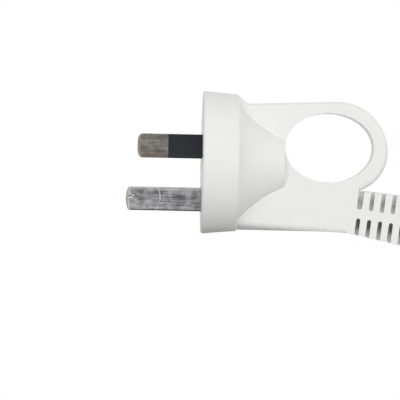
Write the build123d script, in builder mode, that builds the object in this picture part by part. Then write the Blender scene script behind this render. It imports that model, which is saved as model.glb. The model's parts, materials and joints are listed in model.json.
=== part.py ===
# Extension lead: a three-pin plug with a finger grip, its cord in a tied coil, and a socket.
# Millimetres. The origin is the middle of the plug's pin face, +X runs towards the cord and
# +Z is up. The plug leans back by rest_tilt, so its flange and its relief share one floor.
import os
from math import cos, floor, pi, radians, sin, sqrt, tan

from build123d import *

os.makedirs("parts", exist_ok=True)

# Pins: flat blades on a circle round the middle of the face, the earth blade further out
blade_width = 6.35
blade_thickness = 1.6
live_circle = 7.92
live_spread = 60.0
earth_distance = 10.3
live_pin_length = 17.4
live_tip_bulge = 0.35
live_tip_corner = 1.4
earth_pin_length = 20.3
earth_tip_bulge = 0.7
earth_tip_corner = 0.5
tip_bevel = 0.4
sleeve_length = 9.2
sleeve_anchor = 2.0
sleeve_wall = 0.4
pin_root = 8.0
barrel_radius = 1.75
barrel_length = 6.0
barrel_overlap = 1.0
pin_carrier_margin = 5.2
pin_carrier_depth = 6.0

# Cord: outer sheath, three insulated cores and their copper
cord_diameter = 7.2
core_diameter = 2.6
copper_diameter = 1.4
core_circle = 1.6

# Plug body
rest_tilt = 2.9
flange_radius = 19.2
flange_rear_radius = 18.4
flange_depth = 9.7
flange_drop = 0.2
flange_edge = 0.35
flare_top_radius = 16.2
flare_middle_radius = 12.2
flare_middle = 14.0
boss_end = 22.3
boss_end_radius = 7.8
boss_end_edge = 0.6
grip_thickness = 9.6
grip_edge = 1.4
grip_lower_edge = 1.8
grip_web = 2.3
grip_root_top = 15.73
grip_top = 16.7
grip_ring_start = 36.6
grip_ring_shoulder = (46.0, 12.65)
grip_ring_reach = 49.8
grip_ring_middle = 4.2
grip_bottom = 18.2
grip_bottom_turn = 30.0
crown_rise = 1.6
hole_centre = 34.1
hole_height = 4.3
hole_half_length = 11.95
hole_half_height = 9.3

# Slotted strain relief, the same section on plug and socket
relief_start = 42.6
relief_drop = 13.3
relief_fall = 7.0
relief_top = 6.1
relief_top_belly = 6.5
relief_bottom = 5.45
relief_bottom_belly = 6.75
relief_belly_at = 12.0
relief_end_half_height = 5.3
relief_end_thickness = 8.6
relief_end_edge = 0.7
relief_length = 28.0
relief_overlap = 3.0
slot_pitch = 2.96
slot_width = 1.1
slot_first = -0.17
slot_count = 8
wide_slot_width = 1.55
spine_half_height = 1.2
web_waist = 1.9
web_edge = 8.4
web_inset = 0.1
liner_wall = 0.3
plug_sheath_reach = 17.0
plug_core_turn = 3.2
plug_core_lead = 4.0
exit_run = 7.3

# Socket
socket_head_length = 26.0
socket_neck_length = 3.4
socket_relief_length = 20.0
socket_slot_count = 5
socket_insert_radius = 16.2
socket_insert_depth = 20.8
socket_slot_length = 7.2
socket_slot_width = 2.4
socket_front_wall = 2.6
cavity_length = 8.2
cavity_width = 5.4
cover_depth = 2.2
contact_width = 5.6
contact_sheet = 0.5
contact_mouth = 3.6
contact_pinch = 7.0
contact_mouth_gap = 1.75
contact_pinch_gap = 0.95
contact_base_gap = 1.85
contact_base_depth = 0.8
contact_barrel_end = 27.2
socket_core_turn = 2.4
socket_sheath_start = 38.6

# Coil: four layers that spiral in and out, tied once
turn_gap = 0.5
layer_half_turns = 5
coil_half_turns = 22
coil_mean_radius = 39.25
tie_thickness = 0.6
tie_width = 5.0
tie_clearance = 0.7
tie_angle = 315.0
tie_twist_length = 14.0
tie_twist_width = 2.4

# Frames: along the plug, up from its face, and square to both
lean = radians(rest_tilt)
along_plug = (cos(lean), 0, sin(lean))
plug_side = Plane(origin=(0, 0, 0), x_dir=along_plug, z_dir=(0, -1, 0))
plug_face = Plane(origin=(0, 0, 0), x_dir=(0, 1, 0), z_dir=along_plug)
floor_height = -(flange_radius + flange_drop) * cos(lean)


def finish(builder, name):
    builder.part.label = name
    export_step(builder.part, f"parts/{name}.step")


def pin_place(name, side):
    # Where a blade stands on a face, and how it leans. side is -1 on a plug and 1 on a socket.
    if name == "earth":
        return Location((0, -earth_distance, 0))
    hand = side if name == "active" else -side
    across = live_circle * sin(radians(live_spread))
    up = live_circle * cos(radians(live_spread))
    return Location((hand * across, up, 0), (0, 0, hand * (90 - live_spread)))


def pin_plane(face, name, side):
    return Plane(face.location * pin_place(name, side))


def flat_of(plane):
    # The plane along a blade's flat: x towards the cord, y across the blade's width.
    return Plane(origin=plane.origin, x_dir=plane.z_dir, z_dir=plane.x_dir)


# Plug pins and their sleeves
pin_solids = []
sleeve_solids = []
for name in ("active", "neutral", "earth"):
    sleeved = name != "earth"
    length = live_pin_length if sleeved else earth_pin_length
    tip_bulge = live_tip_bulge if sleeved else earth_tip_bulge
    tip_corner = live_tip_corner if sleeved else earth_tip_corner
    base = pin_plane(plug_face, name, -1)
    flat = flat_of(base)
    edge_on = Plane(origin=base.origin, x_dir=base.z_dir, z_dir=base.y_dir)

    if sleeved:
        with BuildPart() as sleeve:
            with BuildSketch(base.offset(-sleeve_length)):
                Rectangle(blade_thickness, blade_width)
                Rectangle(
                    blade_thickness - 2 * sleeve_wall,
                    blade_width - 2 * sleeve_wall,
                    mode=Mode.SUBTRACT,
                )
            extrude(amount=sleeve_length + sleeve_anchor)
        finish(sleeve, f"{name}_pin_sleeve")
        sleeve_solids.append(sleeve.part)

    with BuildPart() as pin:
        with BuildSketch(flat) as outline:
            with BuildLine():
                ThreePointArc(
                    (tip_bulge - length, blade_width / 2),
                    (-length, 0),
                    (tip_bulge - length, -blade_width / 2),
                )
                Polyline(
                    (tip_bulge - length, -blade_width / 2),
                    (pin_root, -blade_width / 2),
                    (pin_root, blade_width / 2),
                    (tip_bulge - length, blade_width / 2),
                )
            make_face()
            fillet(outline.vertices().sort_by(Axis.X)[:2], radius=tip_corner)
        extrude(amount=blade_thickness / 2, both=True)
        with BuildSketch(edge_on):
            with BuildLine():
                Polyline(
                    (-length, tip_bevel - blade_thickness / 2),
                    (2 * tip_bevel - length, -blade_thickness / 2),
                    (pin_root, -blade_thickness / 2),
                    (pin_root, blade_thickness / 2),
                    (2 * tip_bevel - length, blade_thickness / 2),
                    (-length, blade_thickness / 2 - tip_bevel),
                    close=True,
                )
            make_face()
        extrude(amount=blade_width / 2, both=True, mode=Mode.INTERSECT)
        with BuildSketch(base.offset(pin_root - barrel_overlap)):
            Circle(barrel_radius)
        extrude(amount=barrel_overlap + barrel_length)
        with BuildSketch(base.offset(pin_root)):
            Circle(copper_diameter / 2)
        extrude(amount=barrel_length, mode=Mode.SUBTRACT)
        if sleeved:
            add(sleeve.part, mode=Mode.SUBTRACT)
    finish(pin, f"{name}_pin")
    pin_solids.append(pin.part)

# Rigid carrier that holds the pins, flush with the face
with BuildPart() as pin_carrier:
    with BuildSketch(plug_face):
        for name in ("active", "neutral", "earth"):
            with Locations(pin_place(name, -1)):
                Circle(pin_carrier_margin)
        make_hull()
    extrude(amount=pin_carrier_depth)
    add(pin_solids, mode=Mode.SUBTRACT)
    add(sleeve_solids, mode=Mode.SUBTRACT)
finish(pin_carrier, "plug_pin_carrier")

# The relief's straight axis in the plug: x along the cord, y up across the relief
fall = radians(relief_fall)
relief_side = Plane(
    origin=plug_side.from_local_coords((relief_start, -relief_drop, 0)),
    x_dir=plug_side.x_dir * cos(fall) - plug_side.y_dir * sin(fall),
    z_dir=plug_side.z_dir,
)


def cross_plane(side, along):
    # The plane square to a relief's axis, x across, y up.
    return Plane(
        origin=side.from_local_coords((along, 0, 0)), x_dir=-side.z_dir, z_dir=side.x_dir
    )


def route_radii(points, share=0.45):
    # A corner's radius: a share of its shorter run, over the tangent of half the turn.
    radii = []
    for before, corner, after in zip(points, points[1:], points[2:]):
        first, second = corner - before, after - corner
        half_turn = radians(first.get_angle(second)) / 2
        radii.append(share * min(first.length, second.length) / tan(half_turn))
    return radii


def build_cores(end, routes, copper_tail):
    # Each core is a tube of insulation round its copper, which runs on into the crimp.
    solids = []
    for name, route in routes.items():
        radii = route_radii(route)
        start = Plane(origin=route[0], z_dir=route[1] - route[0])
        tail = route[0] - (route[1] - route[0]).normalized() * copper_tail
        with BuildLine() as core_line:
            FilletPolyline(*route, radius=radii)
        with BuildLine() as copper_line:
            FilletPolyline(tail, *route[1:], radius=radii)
        with BuildPart() as core:
            with BuildSketch(start):
                Circle(core_diameter / 2)
                Circle(copper_diameter / 2, mode=Mode.SUBTRACT)
            sweep(path=core_line.wire())
        finish(core, f"{end}_{name}_core")
        with BuildPart() as copper:
            with BuildSketch(Plane(origin=tail, z_dir=route[1] - route[0])):
                Circle(copper_diameter / 2)
            sweep(path=copper_line.wire())
        finish(copper, f"{end}_{name}_conductor")
        solids += [core.part, copper.part]
    return solids


def core_seat(name, side):
    # Where a core lies in the cord's section.
    if name == "earth":
        return 0, -core_circle
    hand = side if name == "active" else -side
    return hand * core_circle * sin(radians(60)), core_circle * cos(radians(60))


# Plug cores: from the crimps, in through the boss, down to the sheath's end
plug_section = cross_plane(relief_side, -plug_sheath_reach)
crimp_end = pin_root + barrel_length
plug_routes = {}
for name in ("active", "neutral", "earth"):
    place = pin_place(name, -1).position
    across, up = core_seat(name, -1)
    plug_routes[name] = [
        plug_face.from_local_coords((place.X, place.Y, crimp_end)),
        plug_face.from_local_coords((place.X, place.Y, crimp_end + plug_core_turn)),
        plug_section.from_local_coords((across, up, -plug_core_lead)),
        plug_section.from_local_coords((across, up, 0)),
    ]
plug_core_solids = build_cores("plug", plug_routes, barrel_length)

# The sheath that the relief grips
with BuildPart() as plug_sheath:
    with BuildSketch(cross_plane(relief_side, -plug_sheath_reach)):
        Circle(cord_diameter / 2)
    extrude(amount=plug_sheath_reach + relief_length)
finish(plug_sheath, "plug_sheath")


def relief_outline(length, inset):
    # The relief seen from its side, bellied and then drawn in to its end.
    top, top_belly = relief_top - inset, relief_top_belly - inset
    bottom, bottom_belly = relief_bottom - inset, relief_bottom_belly - inset
    last = relief_end_half_height - inset
    belly_at = relief_belly_at * length / relief_length
    with BuildLine() as outline:
        Line((-relief_overlap, top), (-relief_overlap, -bottom))
        underside = Line((-relief_overlap, -bottom), (belly_at, -bottom_belly))
        TangentArc((belly_at, -bottom_belly), (length, -last), tangent=underside % 1)
        Line((length, -last), (length, last))
        ThreePointArc((length, last), (belly_at, top_belly), (-relief_overlap, top))
    return outline.edges()


def build_relief(side, length, count, wide):
    # Slots are cut right through, then a waisted web and a liner round the cord fill their middle.
    plan = Plane(origin=side.origin, x_dir=side.x_dir, z_dir=side.y_dir)
    reach = relief_bottom_belly + grip_edge
    with BuildPart() as shell:
        with BuildSketch(side):
            make_face(relief_outline(length, 0))
        extrude(amount=grip_thickness / 2, both=True)
        with BuildSketch(plan):
            with BuildLine():
                Polyline(
                    (-relief_overlap, grip_thickness / 2),
                    (0, grip_thickness / 2),
                    (length, relief_end_thickness / 2),
                    (length, -relief_end_thickness / 2),
                    (0, -grip_thickness / 2),
                    (-relief_overlap, -grip_thickness / 2),
                    close=True,
                )
            make_face()
        extrude(amount=reach, both=True, mode=Mode.INTERSECT)
        long_edges = [e for e in shell.edges() if e.length > 0.8 * length]
        fillet(long_edges, radius=grip_edge)
        end_face = shell.faces().sort_by(Axis(side.origin, side.x_dir))[-1]
        fillet(end_face.edges(), radius=relief_end_edge)
        with BuildSketch(side):
            for number in range(count):
                for hand in (1, -1):
                    first = wide and number == 0 and hand == 1
                    width = wide_slot_width if first else slot_width
                    along = slot_first + number * slot_pitch - (width - slot_width) / 2
                    with Locations((along, hand * (spine_half_height + reach) / 2)):
                        SlotOverall(reach - spine_half_height, width, rotation=90)
        extrude(amount=grip_thickness, both=True, mode=Mode.SUBTRACT)
    with BuildPart() as middle_web:
        with BuildSketch(cross_plane(side, -relief_overlap)):
            with BuildLine():
                ThreePointArc((web_edge / 2, reach), (web_waist / 2, 0), (web_edge / 2, -reach))
                Line((web_edge / 2, -reach), (-web_edge / 2, -reach))
                ThreePointArc((-web_edge / 2, -reach), (-web_waist / 2, 0), (-web_edge / 2, reach))
                Line((-web_edge / 2, reach), (web_edge / 2, reach))
            make_face()
        extrude(amount=relief_overlap + length - web_inset)
        with BuildSketch(side):
            make_face(relief_outline(length, web_inset))
        extrude(amount=grip_thickness, both=True, mode=Mode.INTERSECT)
        with BuildSketch(cross_plane(side, -relief_overlap)):
            Circle(cord_diameter / 2 + liner_wall)
        extrude(amount=relief_overlap + length - web_inset)
    with BuildPart() as relief:
        add(shell.part)
        add(middle_web.part)
    return relief.part


# Finger grip: a flat plate with a rounded edge, a crowned underside and an oval hole
slot_edge = slot_first + slot_width / 2
high_place = relief_side.from_local_coords((slot_edge - wide_slot_width, relief_top, 0))
low_place = relief_side.from_local_coords((slot_edge - slot_width, -relief_bottom, 0))
high_corner = plug_side.to_local_coords(high_place)
low_corner = plug_side.to_local_coords(low_place)
grip_root = flange_depth / 2
web_top = grip_root_top + grip_web - flange_edge
with BuildPart() as grip:
    with BuildSketch(plug_side):
        with BuildLine():
            Polyline(
                (grip_root, -grip_bottom),
                (grip_root, web_top),
                (flange_depth, web_top),
                (flange_depth + grip_web, grip_root_top),
                (grip_ring_start, grip_top),
            )
            shoulder = ThreePointArc(
                (grip_ring_start, grip_top),
                grip_ring_shoulder,
                (grip_ring_reach, grip_ring_middle),
            )
            TangentArc(
                (grip_ring_reach, grip_ring_middle),
                (high_corner.X, high_corner.Y),
                tangent=shoulder % 1,
            )
            Line((high_corner.X, high_corner.Y), (low_corner.X, low_corner.Y))
            TangentArc(
                (grip_bottom_turn, -grip_bottom),
                (low_corner.X, low_corner.Y),
                tangent=(1, 0),
            )
            Line((grip_bottom_turn, -grip_bottom), (grip_root, -grip_bottom))
        make_face()
    extrude(amount=grip_thickness, both=True)
    with BuildSketch(cross_plane(plug_side, grip_root)) as section:
        with BuildLine():
            Polyline(
                (0, -grip_bottom),
                (grip_thickness / 2, crown_rise - grip_bottom),
                (grip_thickness / 2, flange_radius),
                (-grip_thickness / 2, flange_radius),
                (-grip_thickness / 2, crown_rise - grip_bottom),
                close=True,
            )
        make_face()
        fillet(section.vertices().sort_by(Axis.Y)[1:3], radius=grip_lower_edge)
    crown_reach = Vector(low_corner.X - grip_root, low_corner.Y + grip_bottom - crown_rise)
    crown_way = plug_side.x_dir * crown_reach.X + plug_side.y_dir * crown_reach.Y
    extrude(amount=grip_ring_reach, dir=crown_way, mode=Mode.INTERSECT)
    rim = grip.faces().filter_by(Axis.Y).edges()
    seam = plug_side.from_local_coords((high_corner + low_corner) / 2)
    root = plug_side.from_local_coords((grip_root, 0, 0))
    rim -= rim.sort_by_distance(seam)[:2] + rim.sort_by_distance(root)[:2]
    fillet(rim.filter_by_position(Axis.Z, -grip_bottom / 2, flange_radius), radius=grip_edge)
    with BuildSketch(plug_side):
        with Locations((hole_centre, hole_height)):
            Ellipse(hole_half_length, hole_half_height)
    extrude(amount=grip_thickness, both=True, mode=Mode.SUBTRACT)

plug_relief = build_relief(relief_side, relief_length, slot_count, True)

# Overmoulded body: flange and boss turned round the axis, with the grip and the relief
turning_axis = Axis(plug_side.from_local_coords((0, -flange_drop, 0)), plug_side.x_dir)
with BuildPart() as plug_body:
    with BuildSketch(plug_side):
        with BuildLine():
            Polyline(
                (boss_end, boss_end_radius - flange_drop),
                (boss_end, -flange_drop),
                (0, -flange_drop),
                (0, flange_radius - flange_edge - flange_drop),
                (flange_edge, flange_radius - flange_drop),
                (flange_depth - flange_edge, flange_rear_radius - flange_drop),
                (flange_depth, flange_rear_radius - flange_edge - flange_drop),
                (flange_depth, flare_top_radius - flange_drop),
            )
            ThreePointArc(
                (flange_depth, flare_top_radius - flange_drop),
                (flare_middle, flare_middle_radius - flange_drop),
                (boss_end, boss_end_radius - flange_drop),
            )
        make_face()
    revolve(axis=turning_axis)
    boss_face = plug_body.faces().sort_by(Axis(plug_side.origin, plug_side.x_dir))[-1]
    fillet(boss_face.edges(), radius=boss_end_edge)
    with BuildSketch(plug_side):
        with Locations((hole_centre, hole_height)):
            Ellipse(hole_half_length, hole_half_height)
    extrude(amount=flange_radius, both=True, mode=Mode.SUBTRACT)
    add(grip.part)
    add(plug_relief)
    add(pin_carrier.part, mode=Mode.SUBTRACT)
    add(pin_solids, mode=Mode.SUBTRACT)
    add(sleeve_solids, mode=Mode.SUBTRACT)
    add(plug_core_solids, mode=Mode.SUBTRACT)
    add(plug_sheath.part, mode=Mode.SUBTRACT)
finish(plug_body, "plug_body")


def build_run(name, points):
    # A free stretch of cord: straight runs joined by tangent arcs.
    radii = route_radii(points)
    with BuildLine() as run_line:
        FilletPolyline(*points, radius=radii)
    with BuildPart() as run:
        with BuildSketch(Plane(origin=points[0], z_dir=points[1] - points[0])):
            Circle(cord_diameter / 2)
        sweep(path=run_line.wire())
    finish(run, name)
    length = run_line.wire().length
    ideal = pi * cord_diameter**2 / 4 * length
    print(name, "radii", [round(r, 1) for r in radii], "length", round(length, 1))
    print(name, "volume over section times length", round(run.part.volume / ideal, 4))
    return length


# Cord from the plug: out of the relief, down to the coil's lowest layer
exit_point = relief_side.from_local_coords((relief_length, 0, 0))
lowest_turn = floor_height + tie_thickness + tie_clearance + cord_diameter / 2
plug_route = [
    exit_point,
    exit_point + relief_side.x_dir * exit_run,
    Vector(86.6, -1.5, lowest_turn),
    Vector(93.4, -4.0, lowest_turn),
]
plug_run_length = build_run("cord_plug_run", plug_route)

# Coil: half turns that draw in and let out at one rate, and climb a layer as they reverse
pitch = cord_diameter + turn_gap
stride = layer_half_turns + 1
outer_radius = coil_mean_radius + stride * pitch / 4


def turn_radius(half_turns):
    phase = (half_turns + 0.5) % (2 * stride)
    return outer_radius - pitch / 2 * min(phase, 2 * stride - phase)


def turn_height(half_turns):
    layer = floor(half_turns / stride)
    climbed = max(half_turns - layer * stride - layer_half_turns, 0)
    return pitch * (layer + (1 - cos(pi * climbed)) / 2)


def turn_point(half_turns):
    angle = pi * half_turns
    radius = turn_radius(half_turns)
    return Vector(radius * cos(angle), radius * sin(angle), turn_height(half_turns))


def turn_direction(half_turns):
    # The mean of the steps just before and after, so that a reversal runs square.
    step = 1e-4
    ahead = (turn_point(half_turns + step) - turn_point(half_turns)).normalized()
    behind = (turn_point(half_turns) - turn_point(half_turns - step)).normalized()
    mean = (ahead + behind).normalized()
    climbing = half_turns % stride > layer_half_turns
    return mean if climbing else Vector(mean.X, mean.Y, 0).normalized()


stations = []
for half_turn in range(coil_half_turns):
    stations.append(half_turn)
    if half_turn % stride == layer_half_turns:
        stations.append(half_turn + 0.5)
stations.append(coil_half_turns)

start_heading = (plug_route[-1] - plug_route[-2]).normalized()
local_heading = turn_direction(0)
turned = start_heading.get_signed_angle(local_heading, Vector(0, 0, 1))
coil_x = Vector(1, 0, 0).rotate(Axis.Z, -turned)
first_turn = turn_point(0)
coil_start = plug_route[-1] + start_heading * cord_diameter
coil_plane = Plane(origin=(0, 0, 0), x_dir=coil_x, z_dir=(0, 0, 1))
coil_plane = Plane(
    origin=coil_start - coil_plane.from_local_coords(first_turn), x_dir=coil_x, z_dir=(0, 0, 1)
)


def in_world(vector):
    return coil_plane.from_local_coords(vector) - coil_plane.origin


def biarc(start, heading, end, end_heading):
    # Two arcs that leave and arrive along the given headings, and where they join.
    chord = end - start
    spread = chord.dot(heading + end_heading)
    closing = 2 * (1 - heading.dot(end_heading))
    if closing < 1e-9:
        reach = chord.length / 4
    else:
        reach = (sqrt(spread**2 + closing * chord.dot(chord)) - spread) / closing
    leaving, arriving = start + heading * reach, end - end_heading * reach
    joint = (leaving + arriving) * 0.5
    return joint, (arriving - leaving).normalized()


with BuildLine() as coil_line:
    Line(plug_route[-1], coil_start)
    for before, after in zip(stations, stations[1:]):
        start = coil_plane.from_local_coords(turn_point(before))
        end = coil_plane.from_local_coords(turn_point(after))
        heading, end_heading = in_world(turn_direction(before)), in_world(turn_direction(after))
        joint, joint_heading = biarc(start, heading, end, end_heading)
        TangentArc(start, joint, tangent=heading)
        TangentArc(joint, end, tangent=joint_heading)
    end_point = coil_plane.from_local_coords(turn_point(coil_half_turns))
    end_heading = in_world(turn_direction(coil_half_turns))
    coil_end = end_point + end_heading * cord_diameter
    Line(end_point, coil_end)

coil_path = coil_line.wire()
with BuildPart() as cord_coil:
    with BuildSketch(Plane(origin=plug_route[-1], z_dir=start_heading)):
        Circle(cord_diameter / 2)
    sweep(path=coil_path)
finish(cord_coil, "cord_coil")

coil_length = coil_path.length
samples = 1600
coil_points = [coil_path.position_at(i / samples) for i in range(samples + 1)]
apart = int(3 * cord_diameter * samples / coil_length)
least = min(
    (coil_points[i] - coil_points[j]).length
    for i in range(samples + 1)
    for j in range(i + apart, samples + 1)
)
section = pi * cord_diameter**2 / 4
print("cord_coil length", round(coil_length, 1), "least gap to itself", round(least - cord_diameter, 3))
print("cord_coil volume over section times length", round(cord_coil.part.volume / (section * coil_length), 4))
print("cord_coil least radius in the turns", round(outer_radius - stride * pitch / 2, 2))

# Tie round the bundle of turns
tie_turns = [tie_angle / 180 + 2 * turn for turn in range(coil_half_turns // 2)]
tie_radial = Vector(cos(radians(tie_angle)), sin(radians(tie_angle)), 0)
tie_plane = Plane(
    origin=coil_plane.from_local_coords(tie_radial * coil_mean_radius),
    x_dir=in_world(tie_radial),
    z_dir=in_world(Vector(tie_radial.Y, -tie_radial.X, 0)),
)
tie_hold = cord_diameter / 2 + tie_clearance
tie_outside = max(turn_radius(turn) for turn in tie_turns) - coil_mean_radius + tie_hold
tie_middle = turn_height(coil_half_turns) / 2
with BuildPart() as coil_tie:
    for radius, mode in ((tie_hold + tie_thickness, Mode.ADD), (tie_hold, Mode.SUBTRACT)):
        with BuildSketch(tie_plane):
            for turn in tie_turns:
                with Locations((turn_radius(turn) - coil_mean_radius, turn_height(turn))):
                    Circle(radius)
            make_hull()
        extrude(amount=tie_width / 2, both=True, mode=mode)
    with BuildSketch(tie_plane):
        with Locations((tie_outside + tie_twist_width / 2, tie_middle)):
            SlotOverall(tie_twist_length, tie_twist_width, rotation=90)
    extrude(amount=tie_twist_width / 2, both=True)
finish(coil_tie, "coil_tie")

# Cord to the socket: each run's length, its heading from the coil's end and its rise
socket_run = Plane(origin=coil_end, x_dir=end_heading, z_dir=(0, 0, 1))
socket_route = [coil_end]
for run, heading, rise in (
    (14.0, 0, 0),
    (15.5, 22, 0),
    (15.5, 44, 0),
    (15.5, 66, 0),
    (15.5, 88, 2.4),
    (15.5, 110, 3.3),
    (15.5, 132, 1.9),
    (13.0, 152, 0.2),
    (12.0, 169, 0.8),
    (11.0, 185, 1.75),
    (10.0, 200, 2.5),
):
    step = Vector(run * cos(radians(heading)), run * sin(radians(heading)), rise)
    socket_route.append(socket_route[-1] + socket_run.from_local_coords(step) - coil_end)
socket_run_length = build_run("cord_socket_run", socket_route)
print("free cord", round(plug_run_length + coil_length + socket_run_length, 1))

# Socket: its axis runs on from the cord, with the face at the far end
flare_shift = socket_head_length - flange_depth
neck_end = boss_end + flare_shift + socket_neck_length
socket_length = neck_end + socket_relief_length
along_socket = (socket_route[-2] - socket_route[-1]).normalized()
socket_origin = socket_route[-1] - along_socket * socket_length
socket_face = Plane(
    origin=socket_origin, x_dir=Vector(0, 0, 1).cross(along_socket), z_dir=along_socket
)
socket_side = Plane(origin=socket_origin, x_dir=along_socket, z_dir=-socket_face.x_dir)
socket_relief_side = Plane(
    origin=socket_side.from_local_coords((neck_end, 0, 0)),
    x_dir=socket_side.x_dir,
    z_dir=socket_side.z_dir,
)

# Contacts: two spring leaves on a base, with a crimp barrel behind
contact_solids = []
for name in ("active", "neutral", "earth"):
    base = pin_plane(socket_face, name, 1)
    edge_on = Plane(origin=base.origin, x_dir=base.z_dir, z_dir=base.y_dir)
    base_front = socket_insert_depth - contact_base_depth
    with BuildPart() as contact:
        for hand in (1, -1):
            with BuildSketch(edge_on):
                with BuildLine():
                    Polyline(
                        (contact_mouth, hand * contact_mouth_gap),
                        (contact_pinch, hand * contact_pinch_gap),
                        (base_front + contact_base_depth / 2, hand * contact_base_gap),
                    )
                trace(line_width=contact_sheet)
            extrude(amount=contact_width / 2, both=True)
        with BuildSketch(base.offset(base_front)):
            Rectangle(2 * contact_base_gap + contact_sheet, contact_width)
        extrude(amount=contact_base_depth)
        with BuildSketch(base.offset(base_front)):
            Circle(barrel_radius)
        extrude(amount=contact_barrel_end - base_front)
        with BuildSketch(base.offset(contact_barrel_end - barrel_length)):
            Circle(copper_diameter / 2)
        extrude(amount=barrel_length, mode=Mode.SUBTRACT)
    finish(contact, f"{name}_contact")
    contact_solids.append(contact.part)

# Face insert: three pin slots with a cavity behind each
with BuildPart() as face_insert:
    with BuildSketch(socket_face):
        Circle(socket_insert_radius)
    extrude(amount=socket_insert_depth)
    with BuildSketch(socket_face):
        for name in ("active", "neutral", "earth"):
            with Locations(pin_place(name, 1)):
                Rectangle(socket_slot_width, socket_slot_length)
    extrude(amount=socket_front_wall, mode=Mode.SUBTRACT)
    with BuildSketch(socket_face.offset(socket_front_wall)):
        for name in ("active", "neutral", "earth"):
            with Locations(pin_place(name, 1)):
                Rectangle(cavity_width, cavity_length)
    extrude(amount=socket_insert_depth - socket_front_wall, mode=Mode.SUBTRACT)
finish(face_insert, "socket_face_insert")

# Cover that closes the cavities behind the contacts
with BuildPart() as contact_cover:
    with BuildSketch(socket_face.offset(socket_insert_depth)):
        Circle(socket_insert_radius)
        for name in ("active", "neutral", "earth"):
            with Locations(pin_place(name, 1)):
                Circle(barrel_radius, mode=Mode.SUBTRACT)
    extrude(amount=cover_depth)
finish(contact_cover, "socket_contact_cover")

# Socket cores: from the crimps straight back, then in to the sheath's end
socket_routes = {}
for name in ("active", "neutral", "earth"):
    place = pin_place(name, 1).position
    across, up = core_seat(name, 1)
    socket_routes[name] = [
        socket_face.from_local_coords(point)
        for point in (
            (place.X, place.Y, contact_barrel_end),
            (place.X, place.Y, contact_barrel_end + socket_core_turn),
            (across, up, socket_sheath_start - socket_core_turn),
            (across, up, socket_sheath_start),
        )
    ]
socket_core_solids = build_cores("socket", socket_routes, barrel_length)

with BuildPart() as socket_sheath:
    with BuildSketch(socket_face.offset(socket_sheath_start)):
        Circle(cord_diameter / 2)
    extrude(amount=socket_length - socket_sheath_start)
finish(socket_sheath, "socket_sheath")

socket_relief = build_relief(socket_relief_side, socket_relief_length, socket_slot_count, False)

# Socket body: a round head that flares down to the relief, like the plug's boss
head = socket_head_length
socket_axis = Axis(socket_origin, along_socket)
with BuildPart() as socket_body:
    with BuildSketch(socket_side):
        with BuildLine():
            Polyline(
                (boss_end + flare_shift, boss_end_radius),
                (neck_end - grip_edge, boss_end_radius - grip_edge / 2),
                (neck_end - grip_edge, 0),
                (0, 0),
                (0, flange_radius - flange_edge),
                (flange_edge, flange_radius),
                (head - flange_edge, flange_rear_radius),
                (head, flange_rear_radius - flange_edge),
                (head, flare_top_radius),
            )
            ThreePointArc(
                (head, flare_top_radius),
                (flare_middle + flare_shift, flare_middle_radius),
                (boss_end + flare_shift, boss_end_radius),
            )
        make_face()
    revolve(axis=socket_axis)
    add(socket_relief)
    with BuildSketch(socket_face):
        Circle(socket_insert_radius)
    extrude(amount=socket_insert_depth + cover_depth, mode=Mode.SUBTRACT)
    add(contact_solids, mode=Mode.SUBTRACT)
    add(socket_core_solids, mode=Mode.SUBTRACT)
    add(socket_sheath.part, mode=Mode.SUBTRACT)
finish(socket_body, "socket_body")
print("whole lead, end to end", round(
    live_pin_length + relief_start + relief_length + plug_run_length
    + coil_length + socket_run_length + socket_length, 1))
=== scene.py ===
import json
from math import atan2, cos, floor, pi, radians, sin

import bpy
import bmesh
from mathutils import Matrix, Vector


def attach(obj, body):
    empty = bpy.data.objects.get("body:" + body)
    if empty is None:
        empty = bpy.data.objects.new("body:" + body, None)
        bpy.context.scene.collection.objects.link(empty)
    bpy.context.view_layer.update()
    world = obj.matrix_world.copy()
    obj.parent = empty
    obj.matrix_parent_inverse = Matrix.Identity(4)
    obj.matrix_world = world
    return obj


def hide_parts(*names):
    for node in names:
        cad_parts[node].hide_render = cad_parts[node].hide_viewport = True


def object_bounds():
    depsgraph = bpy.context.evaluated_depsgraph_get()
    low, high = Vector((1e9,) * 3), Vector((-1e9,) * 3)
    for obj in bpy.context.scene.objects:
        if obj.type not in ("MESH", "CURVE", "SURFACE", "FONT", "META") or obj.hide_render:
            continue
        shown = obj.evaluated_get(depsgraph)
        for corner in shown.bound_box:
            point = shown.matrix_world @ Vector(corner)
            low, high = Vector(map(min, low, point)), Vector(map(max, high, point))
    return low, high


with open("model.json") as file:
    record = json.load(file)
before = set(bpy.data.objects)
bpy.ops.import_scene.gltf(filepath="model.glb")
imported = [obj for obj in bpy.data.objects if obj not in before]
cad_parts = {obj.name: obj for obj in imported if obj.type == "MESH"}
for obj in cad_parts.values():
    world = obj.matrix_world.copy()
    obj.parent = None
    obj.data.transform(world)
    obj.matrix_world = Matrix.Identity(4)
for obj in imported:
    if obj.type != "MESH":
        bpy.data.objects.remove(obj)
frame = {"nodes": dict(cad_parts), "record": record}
cadLow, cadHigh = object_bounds()
mounts = {mount["name"]: mount for mount in frame["record"]["mounts"]}
mm = 0.001


def inMetres(lengths):
    return tuple(v * mm for v in lengths)


def addObject(name, data):
    piece = bpy.data.objects.new(name, data)
    bpy.context.scene.collection.objects.link(piece)
    return piece


# The camera: lengths in mm and angles in degrees
cameraSetup = {
    "target": (0.26, 0.0, -10.42),  # what stands in the middle of the picture
    "distance": 900.0,
    "yaw": 1.1,                     # round to the pin face's side
    "roll": 4.12,
    "fieldWidth": 107.8,            # across the picture at the target
    "sensor": 36.0,
    "clip": (50.0, 20000.0),
}


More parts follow.
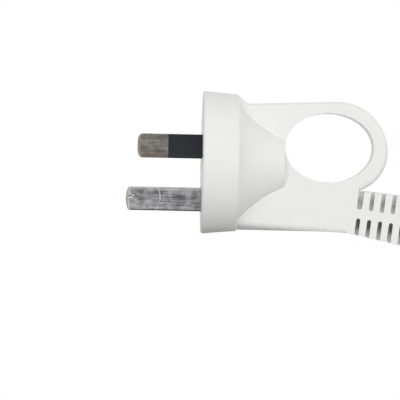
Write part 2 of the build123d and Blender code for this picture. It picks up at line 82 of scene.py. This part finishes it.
def buildCamera():
    c = cameraSetup
    yaw = radians(c["yaw"])
    target = Vector(c["target"]) * mm
    reach = c["distance"] * mm
    data = bpy.data.cameras.new("viewCamera")
    data.sensor_width = c["sensor"]
    data.lens = c["sensor"] * c["distance"] / c["fieldWidth"]
    data.clip_start, data.clip_end = inMetres(c["clip"])
    camera = addObject("viewCamera", data)
    back = Vector((-sin(yaw), -cos(yaw), 0.0))
    looking = (-back).to_track_quat("-Z", "Y").to_matrix().to_4x4()
    turned = looking @ Matrix.Rotation(radians(c["roll"]), 4, "Z")
    camera.matrix_world = Matrix.Translation(target + back * reach) @ turned
    bpy.context.scene.camera = camera


buildCamera()
print("camera placed")

# The free cord in mm: out of the plug, round the coil, up to the socket
cordSetup = {
    "diameter": 7.2,
    "length": 2848.0,
    "plugRoute": [
        (71.147, 0.0, -13.130), (78.428, 0.0, -13.652),
        (86.6, -1.5, -14.475), (93.4, -4.0, -14.475),
    ],
    "socketRoute": [
        (121.065, -11.251, 8.625), (136.562, -11.570, 8.625), (151.050, -6.061, 8.625),
        (162.419, 4.474, 8.625), (169.014, 18.501, 11.025), (169.874, 33.977, 14.325),
        (164.874, 48.648, 16.225), (156.725, 58.777, 16.425), (146.798, 65.519, 17.225),
        (136.347, 68.951, 18.975), (126.362, 69.506, 21.475),
    ],
    "coilCentre": (118.167, 38.951, -14.475),
    "coilStart": (-0.36848, -0.92963),  # the way from the centre to where the coil starts
    "coilMean": 39.25,
    "pitch": 7.7,
    "halfTurns": 22,
    "layerHalfTurns": 5,
    "pointsPerHalfTurn": 8,
    "roundSteps": 7,
    "stepsPerPoint": 6,
}


def coilPoint(halfTurns):
    # Draws in and lets out at one rate, and climbs a layer where it reverses.
    c = cordSetup
    stride = c["layerHalfTurns"] + 1
    phase = (halfTurns + 0.5) % (2 * stride)
    outer = c["coilMean"] + stride * c["pitch"] / 4
    radius = outer - c["pitch"] / 2 * min(phase, 2 * stride - phase)
    radius /= cos(pi / (2 * c["pointsPerHalfTurn"]))  # the curve runs inside its points
    layer = floor(halfTurns / stride)
    climbed = max(halfTurns - layer * stride - c["layerHalfTurns"], 0)
    angle = atan2(c["coilStart"][1], c["coilStart"][0]) + pi * halfTurns
    rise = c["pitch"] * (layer + (1 - cos(pi * climbed)) / 2)
    return Vector(c["coilCentre"]) + Vector((radius * cos(angle), radius * sin(angle), rise))


def buildCord():
    c = cordSetup
    points = [Vector(p) for p in c["plugRoute"]]
    steps = c["halfTurns"] * c["pointsPerHalfTurn"]
    points += [coilPoint((step + 0.5) / c["pointsPerHalfTurn"]) for step in range(steps)]
    points += [Vector(p) for p in c["socketRoute"]]
    curve = bpy.data.curves.new("cordSheath", "CURVE")
    curve.dimensions = "3D"
    curve.bevel_depth = c["diameter"] / 2
    curve.bevel_resolution = c["roundSteps"]
    curve.resolution_u = c["stepsPerPoint"]
    curve.use_fill_caps = True
    spline = curve.splines.new("NURBS")
    spline.points.add(len(points) - 1)
    for place, point in zip(spline.points, points):
        place.co = (*(point * mm), 1.0)
        place.radius = mm  # the bevel's depth is in mm
    spline.order_u = 3
    spline.use_endpoint_u = True
    cord = addObject("cordSheath", curve)
    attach(cord, "root")
    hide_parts("cord_plug_run", "cord_coil", "cord_socket_run")
    return cord


cord = buildCord()
print("cord laid")

# Node helpers: a tree's nodes stand in rows, in the order they are made
nodesPerRow = 8
nodeSpacing = (220, 280)


def addNode(tree, kind, **values):
    row, column = divmod(len(tree.nodes), nodesPerRow)
    node = tree.nodes.new(kind)
    node.location = (column * nodeSpacing[0], -row * nodeSpacing[1])
    for key, value in values.items():
        setattr(node, key, value)
    return node


def feed(tree, node, values):
    # A value that is another node's output is linked, and any other is set on the input.
    for key, value in values.items():
        if isinstance(value, bpy.types.NodeSocket):
            tree.links.new(value, node.inputs[key])
        else:
            node.inputs[key].default_value = value
    return node


def newMaterial(name):
    material = bpy.data.materials.new(name)
    material.use_nodes = True
    material.node_tree.nodes.clear()
    return material


def newGroup(name, inputs, outputs):
    # inputs and outputs give the names of the sockets of each kind.
    group = bpy.data.node_groups.new(name, "ShaderNodeTree")
    for way, kinds in (("INPUT", inputs), ("OUTPUT", outputs)):
        for kind, names in kinds.items():
            for socket in names:
                group.interface.new_socket(socket, in_out=way, socket_type=f"NodeSocket{kind}")
    return group, addNode(group, "NodeGroupInput").outputs, addNode(group, "NodeGroupOutput")


def combine(tree, operation, *values):
    node = addNode(tree, "ShaderNodeMath", operation=operation)
    return feed(tree, node, dict(enumerate(values))).outputs[0]


def ranged(tree, value, start, end, first=0.0, last=1.0):
    node = addNode(tree, "ShaderNodeMapRange", interpolation_type="SMOOTHSTEP")
    feed(tree, node, {"Value": value, "From Min": start, "From Max": end,
                      "To Min": first, "To Max": last})
    return node.outputs["Result"]


def mixed(tree, factor, one, other):
    node = addNode(tree, "ShaderNodeMix", data_type="RGBA")
    return feed(tree, node, {"Factor": factor, 6: one, 7: other}).outputs[2]


def noise(tree, vector, scale, detail, roughness):
    node = addNode(tree, "ShaderNodeTexNoise")
    feed(tree, node, {"Vector": vector, "Scale": scale, "Detail": detail,
                      "Roughness": roughness})
    return node.outputs["Fac"]


def objectPlace(tree):
    return addNode(tree, "ShaderNodeTexCoord").outputs["Object"]


def opaque(color):
    return (*color, 1.0)


# Moulded plastic, with its scales per metre
skinPattern = {
    "driftScale": 55.0, "driftDetail": 4.0, "driftRoughness": 0.6,
    "grainDetail": 3.0, "grainRoughness": 0.55,
    "waveScale": 260.0, "waveDetail": 2.0, "waveRoughness": 0.5,
    "waveHeight": 1.5,  # against the grain's
}


def buildSkinGroup():
    # Slow colour drift, fine grain and a slight waviness, as moulded plastic has.
    s = skinPattern
    group, into, out = newGroup(
        "mouldedSkin",
        {"Color": ("Color", "Soil"),
         "Float": ("Drift", "Grain Size", "Roughness", "Roughness Spread")},
        {"Color": ("Color",), "Float": ("Roughness", "Height")},
    )
    place = objectPlace(group)
    drift = noise(group, place, s["driftScale"], s["driftDetail"], s["driftRoughness"])
    grain = noise(group, place, into["Grain Size"], s["grainDetail"], s["grainRoughness"])
    wave = noise(group, place, s["waveScale"], s["waveDetail"], s["waveRoughness"])
    amount = combine(group, "MULTIPLY", drift, into["Drift"])
    swing = combine(group, "SUBTRACT", wave, 0.5)
    feed(group, out, {
        "Color": mixed(group, amount, into["Color"], into["Soil"]),
        "Roughness": combine(group, "MULTIPLY_ADD", swing, into["Roughness Spread"],
                             into["Roughness"]),
        "Height": combine(group, "MULTIPLY_ADD", wave, s["waveHeight"], grain),
    })
    return group


def buildPartingGroup():
    # The fine line where the mould's halves met, on the plane through Point that Across
    # stands on.
    group, into, out = newGroup(
        "mouldLine",
        {"Vector": ("Point", "Across", "Along"), "Float": ("Start", "Width")},
        {"Float": ("Mask",)},
    )
    away = addNode(group, "ShaderNodeVectorMath", operation="SUBTRACT")
    feed(group, away, {0: objectPlace(group), 1: into["Point"]})
    reaches = {}
    for name in ("Across", "Along"):
        dot = addNode(group, "ShaderNodeVectorMath", operation="DOT_PRODUCT")
        feed(group, dot, {0: away.outputs["Vector"], 1: into[name]})
        reaches[name] = dot.outputs["Value"]
    off = combine(group, "ABSOLUTE", reaches["Across"])
    thin = ranged(group, off, 0.0, into["Width"], 1.0, 0.0)
    past = combine(group, "GREATER_THAN", reaches["Along"], into["Start"])
    feed(group, out, {"Mask": combine(group, "MULTIPLY", thin, past)})
    return group


mouldedSkin = buildSkinGroup()
mouldLine = buildPartingGroup()

plasticFinishes = {
    "socketWhite": {"color": (0.83, 0.83, 0.815), "soil": (0.70, 0.69, 0.66), "drift": 0.12,
                    "grain": 2600.0, "rough": 0.42, "spread": 0.10, "bump": 0.10,
                    "face": "socket_face"},
    "plugWhite": {"color": (0.83, 0.83, 0.815), "soil": (0.70, 0.69, 0.66), "drift": 0.12,
                  "grain": 2600.0, "rough": 0.42, "spread": 0.10, "bump": 0.10,
                  "face": "plug_face"},
    "rigidWhite": {"color": (0.81, 0.81, 0.80), "soil": (0.70, 0.69, 0.67), "drift": 0.10,
                   "grain": 3200.0, "rough": 0.34, "spread": 0.08, "bump": 0.06},
    "sheathWhite": {"color": (0.82, 0.82, 0.80), "soil": (0.66, 0.65, 0.62), "drift": 0.20,
                    "grain": 1800.0, "rough": 0.36, "spread": 0.12, "bump": 0.14},
    "sleeveBlack": {"color": (0.011, 0.013, 0.019), "soil": (0.03, 0.03, 0.034),
                    "drift": 0.50, "grain": 2600.0, "rough": 0.40, "spread": 0.20,
                    "bump": 0.12, "specular": 0.22},
    "tieBlack": {"color": (0.014, 0.014, 0.016), "soil": (0.055, 0.055, 0.058),
                 "drift": 0.55, "grain": 1500.0, "rough": 0.85, "spread": 0.10,
                 "bump": 1.0, "depth": 0.35, "specular": 0.2, "sheen": 0.35},
    "coreBrown": {"color": (0.16, 0.055, 0.022), "soil": (0.22, 0.09, 0.05), "drift": 0.35,
                  "grain": 2400.0, "rough": 0.38, "spread": 0.10, "bump": 0.08},
    "coreBlue": {"color": (0.030, 0.17, 0.50), "soil": (0.06, 0.25, 0.55), "drift": 0.35,
                 "grain": 2400.0, "rough": 0.38, "spread": 0.10, "bump": 0.08},
    "coreGreen": {"color": (0.09, 0.36, 0.05), "soil": (0.70, 0.62, 0.06), "drift": 0.60,
                  "grain": 2400.0, "rough": 0.38, "spread": 0.10, "bump": 0.08},
}
plasticDepth = 0.12     # mm, the bump's depth where a finish names none
plasticSpecular = 0.5

mouldLines = {   # lengths in mm
    "start": 0.5,       # behind the face
    "halfWidth": 0.11,
    "tint": 0.45,
    "rise": 4.0,        # against the grain's
}

# Painted shade in the slots of the plug's relief
slotShade = {   # lengths in mm
    "start": (43.22, 0.0, -11.13),  # on the relief's middle line
    "fall": 4.1,                    # degrees, how steeply that line falls
    "color": (0.060, 0.060, 0.062),
    "upper": 0.34, "lower": 0.92,   # how strong it is in the upper and lower slots
    "outward": (3.95, 4.3),         # it fades out towards the relief's sides
    "upward": (2.0, 5.4),           # and away from the cord
    "along": (-3.0, -1.6),          # and starts with the first slot
    "between": (-0.5, 0.5),         # where lower turns to upper
}


def shadeSlots(tree, color):
    # Painted shade: grey laid deep in the slots of the plug's relief, more so near the cord.
    s = slotShade
    turned = addNode(tree, "ShaderNodeMapping", vector_type="TEXTURE")
    feed(tree, turned, {"Vector": objectPlace(tree), "Location": inMetres(s["start"]),
                        "Rotation": (0.0, radians(s["fall"]), 0.0)})
    apart = addNode(tree, "ShaderNodeSeparateXYZ")
    along, outward, upward = feed(tree, apart, {0: turned.outputs["Vector"]}).outputs
    deep = ranged(tree, combine(tree, "ABSOLUTE", outward), *inMetres(s["outward"]), 1.0, 0.0)
    inside = ranged(tree, combine(tree, "ABSOLUTE", upward), *inMetres(s["upward"]), 1.0, 0.0)
    begun = ranged(tree, along, *inMetres(s["along"]))
    amount = ranged(tree, upward, *inMetres(s["between"]), s["lower"], s["upper"])
    share = combine(tree, "MULTIPLY", combine(tree, "MULTIPLY", deep, inside),
                    combine(tree, "MULTIPLY", begun, amount))
    return mixed(tree, share, color, opaque(s["color"]))


def drawMouldLine(tree, finish, color, height):
    # It runs back from the face, on the upright plane along the piece.
    m = mouldLines
    face = mounts[finish["face"]]
    along = -Vector(face["axis"])
    across = Vector((0, 0, 1)).cross(along).normalized()
    line = addNode(tree, "ShaderNodeGroup", node_tree=mouldLine)
    feed(tree, line, {"Point": face["pos_m"], "Across": across, "Along": along,
                      "Start": m["start"] * mm, "Width": m["halfWidth"] * mm})
    mask = line.outputs["Mask"]
    dull = combine(tree, "MULTIPLY", mask, m["tint"])
    raised = combine(tree, "MULTIPLY_ADD", mask, m["rise"], height)
    return mixed(tree, dull, color, opaque(finish["soil"])), raised


def finishSurface(tree, color, roughness, height, bump, values):
    # bump is its strength and its depth in metres.
    relief = addNode(tree, "ShaderNodeBump")
    feed(tree, relief, {"Strength": bump[0], "Distance": bump[1], "Height": height})
    shader = addNode(tree, "ShaderNodeBsdfPrincipled")
    feed(tree, shader, {"Base Color": color, "Roughness": roughness,
                        "Normal": relief.outputs["Normal"], **values})
    out = addNode(tree, "ShaderNodeOutputMaterial")
    feed(tree, out, {"Surface": shader.outputs["BSDF"]})


def buildPlastic(name):
    f = plasticFinishes[name]
    material = newMaterial(name)
    tree = material.node_tree
    skin = addNode(tree, "ShaderNodeGroup", node_tree=mouldedSkin)
    feed(tree, skin, {
        "Color": opaque(f["color"]), "Soil": opaque(f["soil"]), "Drift": f["drift"],
        "Grain Size": f["grain"], "Roughness": f["rough"], "Roughness Spread": f["spread"],
    })
    color, height = skin.outputs["Color"], skin.outputs["Height"]
    # The plug's body gets painted shade in its relief's slots
    if name == "plugWhite":
        color = shadeSlots(tree, color)
    if "face" in f:
        color, height = drawMouldLine(tree, f, color, height)
    finishSurface(
        tree, color, skin.outputs["Roughness"], height,
        (f["bump"], f.get("depth", plasticDepth) * mm),
        {"Sheen Weight": f.get("sheen", 0.0),
         "Specular IOR Level": f.get("specular", plasticSpecular)},
    )
    return material


# Rolled strip: places and widths in mm on the blade's own axes, scales per metre.
# A pair of shares or lengths is where a mask starts and where it is full or gone.
bladePattern = {
    "lineStretch": (0.045, 1.0, 1.0),
    "nickStretch": (0.35, 1.0, 1.0),
    "nickScale": 2300.0, "nickDetail": 2.0,
    "detail": 4.0, "roughness": 0.62,
    "lines": (0.36, 0.64), "lineShare": 0.5,
    "patches": (0.36, 0.66), "patchShare": 0.55,
    "patchRoughness": 0.25,
    "tipMarks": (-18.3, 0.0, -9.9), "tipMarksReach": (0.6, 1.9),
    "arcCentre": (-17.0, 0.0, -9.9), "arcRadius": 5.95, "arcWidth": (0.03, 0.22),
    "brightNicks": (0.55, 0.62), "darkNicks": (0.46, 0.38), "arcBreaks": (0.42, 0.60),
    # painted reflection: a light band along the top of a scuffed blade
    "topReflection": (-8.0, -7.5), "topReflectionShare": 0.55, "topReflectionColor": (0.62, 0.62, 0.66),
    # painted dark reflection: a dark band along the lower edge, in the painted underside colour
    "lowDarkReflection": (-13.3, -13.0), "lowDarkReflectionShare": 0.9,
    # painted glint: a bright line across the blade near its tip
    "tipGlint": (-19.35, -19.15), "tipGlintShare": 0.7, "tipGlintColor": (0.78, 0.78, 0.80),
    "darkColor": (0.03, 0.03, 0.028), "brightColor": (0.75, 0.75, 0.78),
    "brightHeight": 0.6,
    # painted shade: faces turned downwards take the painted underside colour
    "edgeFacing": (-0.80, -0.30), "tipFacing": (-0.55, -0.25),
}


def buildDrawnGroup():
    # Lines along the blade, dull patches and brass showing at the tip; painted shade on faces
    # turned downwards, and on a scuffed blade a painted reflection along the top, a painted
    # dark reflection along the lower edge and a painted glint line near the tip.
    b = bladePattern
    group, into, out = newGroup(
        "drawnBlade",
        {"Color": ("Dark", "Light", "Painted Underside", "Tip"),
         "Float": ("Turn", "Patch Size", "Line Size", "Roughness", "Scuffs And Painted Light")},
        {"Color": ("Color",), "Float": ("Roughness", "Height")},
    )
    coordinates = addNode(group, "ShaderNodeTexCoord")

    def onBlade(source):
        node = addNode(group, "ShaderNodeVectorRotate", rotation_type="Y_AXIS")
        feed(group, node, {"Vector": coordinates.outputs[source], "Angle": into["Turn"]})
        return node.outputs["Vector"]

    def stretched(scale):
        node = addNode(group, "ShaderNodeMapping")
        return feed(group, node, {"Vector": turned, "Scale": scale}).outputs["Vector"]

    def separated(vector):
        node = addNode(group, "ShaderNodeSeparateXYZ")
        return feed(group, node, {0: vector}).outputs

    def distanceFrom(centre):
        node = addNode(group, "ShaderNodeVectorMath", operation="DISTANCE")
        return feed(group, node, {0: flat, 1: inMetres(centre)}).outputs["Value"]

    # Scales a mark by how scuffed the blade is, and also sets the strength of its painted
    # reflection, painted dark reflection and painted glint
    def scuffedOrPaintedLight(mask):
        return combine(group, "MULTIPLY", mask, into["Scuffs And Painted Light"])

    turned, facing = onBlade("Object"), onBlade("Normal")
    lines = noise(group, stretched(b["lineStretch"]), into["Line Size"],
                  b["detail"], b["roughness"])
    patches = noise(group, turned, into["Patch Size"], b["detail"], b["roughness"])
    patchShare = combine(group, "MULTIPLY", ranged(group, patches, *b["patches"]),
                         b["patchShare"])
    blend = combine(group, "MULTIPLY_ADD", ranged(group, lines, *b["lines"]),
                    b["lineShare"], patchShare)
    color = mixed(group, blend, into["Dark"], into["Light"])

    # Nicks near the tip, and a worn arc across the blade
    place = separated(turned)
    flattened = addNode(group, "ShaderNodeCombineXYZ")
    flat = feed(group, flattened, {"X": place["X"], "Z": place["Z"]}).outputs[0]
    chips = noise(group, stretched(b["nickStretch"]), b["nickScale"],
                  b["nickDetail"], b["roughness"])
    byTip = ranged(group, distanceFrom(b["tipMarks"]), *inMetres(b["tipMarksReach"]), 1.0, 0.0)
    fromArc = combine(group, "SUBTRACT", distanceFrom(b["arcCentre"]), b["arcRadius"] * mm)
    arc = ranged(group, combine(group, "ABSOLUTE", fromArc), *inMetres(b["arcWidth"]), 1.0, 0.0)
    brightNicks = combine(group, "MULTIPLY", byTip, ranged(group, chips, *b["brightNicks"]))
    brokenArc = combine(group, "MULTIPLY", arc, ranged(group, chips, *b["arcBreaks"]))
    bright = scuffedOrPaintedLight(combine(group, "MAXIMUM", brightNicks, brokenArc))
    darkNicks = ranged(group, chips, *b["darkNicks"])
    dark = scuffedOrPaintedLight(combine(group, "MULTIPLY", byTip, darkNicks))
    # Painted reflection along the top, painted dark reflection along the lower edge, painted
    # glint near the tip
    topReflection = ranged(group, place["Z"], *inMetres(b["topReflection"]), 0.0, b["topReflectionShare"])
    lowDarkReflection = ranged(group, place["Z"], *inMetres(b["lowDarkReflection"]), b["lowDarkReflectionShare"], 0.0)
    tipGlint = ranged(group, place["X"], *inMetres(b["tipGlint"]), b["tipGlintShare"], 0.0)
    # Painted shade: faces turned downwards take the painted underside colour
    side = separated(facing)
    edge = ranged(group, side["Z"], *b["edgeFacing"], 1.0, 0.0)
    tip = ranged(group, side["X"], *b["tipFacing"], 1.0, 0.0)
    for mask, over in (
        (scuffedOrPaintedLight(topReflection), opaque(b["topReflectionColor"])),
        (scuffedOrPaintedLight(lowDarkReflection), into["Painted Underside"]),
        (scuffedOrPaintedLight(tipGlint), opaque(b["tipGlintColor"])),
        (dark, opaque(b["darkColor"])),
        (bright, opaque(b["brightColor"])),
        (edge, into["Painted Underside"]),
        (tip, into["Tip"]),
    ):
        color = mixed(group, mask, color, over)

    feed(group, out, {
        "Color": color,
        "Roughness": combine(group, "MULTIPLY_ADD", patches, b["patchRoughness"],
                             into["Roughness"]),
        "Height": combine(group, "ADD", lines,
                          combine(group, "MULTIPLY", bright, b["brightHeight"])),
    })
    return group


drawnBlade = buildDrawnGroup()

outX, _, outZ = mounts["plug_face"]["axis"]
pinTurn = atan2(-outZ, -outX)  # brings a leaning pin level, in radians

# Each finish's underside colour is painted shade on faces turned downwards
metalFinishes = {
    "wornNickel": {"dark": (0.10, 0.10, 0.098), "light": (0.52, 0.52, 0.54),
                   "edge": (0.035, 0.037, 0.045), "tip": (0.38, 0.30, 0.21),
                   "patch": 420.0, "line": 3000.0, "rough": 0.30, "scuffsAndPaintedLight": 1.0,
                   "bump": 0.35, "turn": pinTurn},
    "agedNickel": {"dark": (0.115, 0.105, 0.09), "light": (0.31, 0.29, 0.26),
                   "edge": (0.25, 0.20, 0.17), "tip": (0.31, 0.28, 0.215),
                   "patch": 520.0, "line": 2600.0, "rough": 0.34, "scuffsAndPaintedLight": 0.0,
                   "bump": 0.30, "turn": pinTurn},
    "contactBrass": {"dark": (0.60, 0.42, 0.17), "light": (0.80, 0.62, 0.30),
                     "edge": (0.66, 0.48, 0.22), "tip": (0.70, 0.52, 0.25),
                     "patch": 420.0, "line": 2400.0, "rough": 0.24, "scuffsAndPaintedLight": 0.0,
                     "bump": 0.20, "turn": 0.0},
    "copperWire": {"dark": (0.52, 0.21, 0.11), "light": (0.80, 0.40, 0.23),
                   "edge": (0.66, 0.30, 0.16), "tip": (0.80, 0.42, 0.26),
                   "patch": 600.0, "line": 3600.0, "rough": 0.26, "scuffsAndPaintedLight": 0.0,
                   "bump": 0.40, "turn": 0.0},
}
metalDepth = 0.04   # mm, the bump's depth


def buildMetal(name):
    f = metalFinishes[name]
    material = newMaterial(name)
    tree = material.node_tree
    blade = addNode(tree, "ShaderNodeGroup", node_tree=drawnBlade)
    feed(tree, blade, {
        "Dark": opaque(f["dark"]), "Light": opaque(f["light"]), "Painted Underside": opaque(f["edge"]),
        "Tip": opaque(f["tip"]), "Turn": f["turn"], "Patch Size": f["patch"],
        "Line Size": f["line"], "Roughness": f["rough"], "Scuffs And Painted Light": f["scuffsAndPaintedLight"],
    })
    finishSurface(tree, blade.outputs["Color"], blade.outputs["Roughness"],
                  blade.outputs["Height"], (f["bump"], metalDepth * mm), {"Metallic": 1.0})
    return material


finishes = {name: buildPlastic(name) for name in plasticFinishes}
finishes.update({name: buildMetal(name) for name in metalFinishes})
print("finishes made")

nodeFinish = {
    "plug_body": "plugWhite", "plug_pin_carrier": "rigidWhite", "plug_sheath": "sheathWhite",
    "active_pin": "agedNickel", "neutral_pin": "agedNickel", "earth_pin": "wornNickel",
    "active_pin_sleeve": "sleeveBlack", "neutral_pin_sleeve": "sleeveBlack",
    "socket_body": "socketWhite", "socket_face_insert": "rigidWhite",
    "socket_contact_cover": "rigidWhite", "socket_sheath": "sheathWhite",
    "coil_tie": "tieBlack", "active_contact": "contactBrass",
    "neutral_contact": "contactBrass", "earth_contact": "contactBrass",
}
for end in ("plug", "socket"):
    for core, finish in (("active", "coreBrown"), ("neutral", "coreBlue"),
                         ("earth", "coreGreen")):
        nodeFinish[f"{end}_{core}_core"] = finish
        nodeFinish[f"{end}_{core}_conductor"] = "copperWire"


def setFinish(obj, name):
    obj.data.materials.clear()
    obj.data.materials.append(finishes[name])


for node, finish in nodeFinish.items():
    setFinish(frame["nodes"][node], finish)
setFinish(cord, "sheathWhite")
print("nodes dressed")

# Floor, backdrop and light, in metres and watts
roomSetup = {
    "floorSize": 8.0,
    "floorColor": (0.50, 0.50, 0.50),
    "seenNear": 0.45,           # share of plain white in the floor by the object
    "lift": 0.70,               # what the rest of it needs to look white where unshaded
    "whiteFrom": (0.10, 0.55),  # from the middle, where the floor turns to plain white
    "skyStrength": 0.60,
    "lights": {
        "frontSoft": {"place": (0.06, -1.6, 0.14), "aim": (0.04, 0, -0.01),
                      "size": (2.4, 0.3), "power": 17.0},
        "leftSoft": {"place": (-1.5, -0.1, 0.25), "aim": (0.03, 0, 0),
                     "size": (0.8, 0.4), "power": 0.6},
        "rightSoft": {"place": (1.6, -0.1, 0.25), "aim": (0.05, 0, 0),
                      "size": (0.8, 0.4), "power": 2.6},
        "backSoft": {"place": (0.1, 1.5, 0.35), "aim": (0.05, 0, 0),
                     "size": (1.4, 0.5), "power": 4.5},
    },
}


def isSeenDirectly(tree):
    # 1 for rays from the camera and for those that gloss or glass sends on.
    ray = addNode(tree, "ShaderNodeLightPath").outputs
    direct = combine(tree, "MAXIMUM", ray["Is Camera Ray"], ray["Is Glossy Ray"])
    return combine(tree, "MAXIMUM", direct, ray["Is Transmission Ray"])


def mixShaders(tree, factor, one, other, output):
    mix = addNode(tree, "ShaderNodeMixShader")
    feed(tree, mix, {0: factor, 1: one.outputs[0], 2: other.outputs[0]})
    feed(tree, addNode(tree, output), {"Surface": mix.outputs[0]})


def buildFloorMaterial():
    # Pale under the object, where its shadow shows, and plain white further out.
    r = roomSetup
    material = newMaterial("floorWhite")
    tree = material.node_tree
    seen = isSeenDirectly(tree)
    diffuse = addNode(tree, "ShaderNodeBsdfDiffuse")
    feed(tree, diffuse, {"Color": opaque(r["floorColor"])})
    lifted = addNode(tree, "ShaderNodeEmission")
    feed(tree, lifted, {"Strength": combine(tree, "MULTIPLY", seen, r["lift"])})
    shaded = addNode(tree, "ShaderNodeAddShader")
    feed(tree, shaded, {0: diffuse.outputs[0], 1: lifted.outputs[0]})
    reach = addNode(tree, "ShaderNodeVectorMath", operation="LENGTH")
    feed(tree, reach, {0: objectPlace(tree)})
    whiter = ranged(tree, reach.outputs["Value"], *r["whiteFrom"], r["seenNear"], 1.0)
    mixShaders(tree, combine(tree, "MULTIPLY", seen, whiter), shaded,
               addNode(tree, "ShaderNodeEmission"), "ShaderNodeOutputMaterial")
    return material


def buildFloor():
    r = roomSetup
    grid = bmesh.new()
    bmesh.ops.create_grid(grid, x_segments=1, y_segments=1, size=r["floorSize"] / 2,
                          matrix=Matrix.Translation((0, 0, cadLow.z)))
    mesh = bpy.data.meshes.new("studioFloor")
    grid.to_mesh(mesh)
    grid.free()
    addObject("studioFloor", mesh)
    mesh.materials.append(buildFloorMaterial())


def buildWorld():
    world = bpy.data.worlds.new("paleRoom")
    world.use_nodes = True
    tree = world.node_tree
    tree.nodes.clear()
    sky, backdrop = (addNode(tree, "ShaderNodeBackground") for _ in range(2))
    for background, strength in ((sky, roomSetup["skyStrength"]), (backdrop, 1.0)):
        feed(tree, background, {"Color": (1, 1, 1, 1), "Strength": strength})
    mixShaders(tree, isSeenDirectly(tree), sky, backdrop, "ShaderNodeOutputWorld")
    bpy.context.scene.world = world


def buildLights():
    for name, light in roomSetup["lights"].items():
        data = bpy.data.lights.new(name, "AREA")
        data.energy = light["power"]
        data.shape = "RECTANGLE"
        data.size, data.size_y = light["size"]
        lamp = addObject(name, data)
        lamp.visible_glossy = False  # metal shows the pale room, not the lamps
        place = Vector(light["place"])
        toward = (Vector(light["aim"]) - place).to_track_quat("-Z", "Y")
        lamp.matrix_world = Matrix.Translation(place) @ toward.to_matrix().to_4x4()


buildFloor()
buildWorld()
buildLights()
bpy.context.scene.view_settings.view_transform = "Standard"
print("room lit")
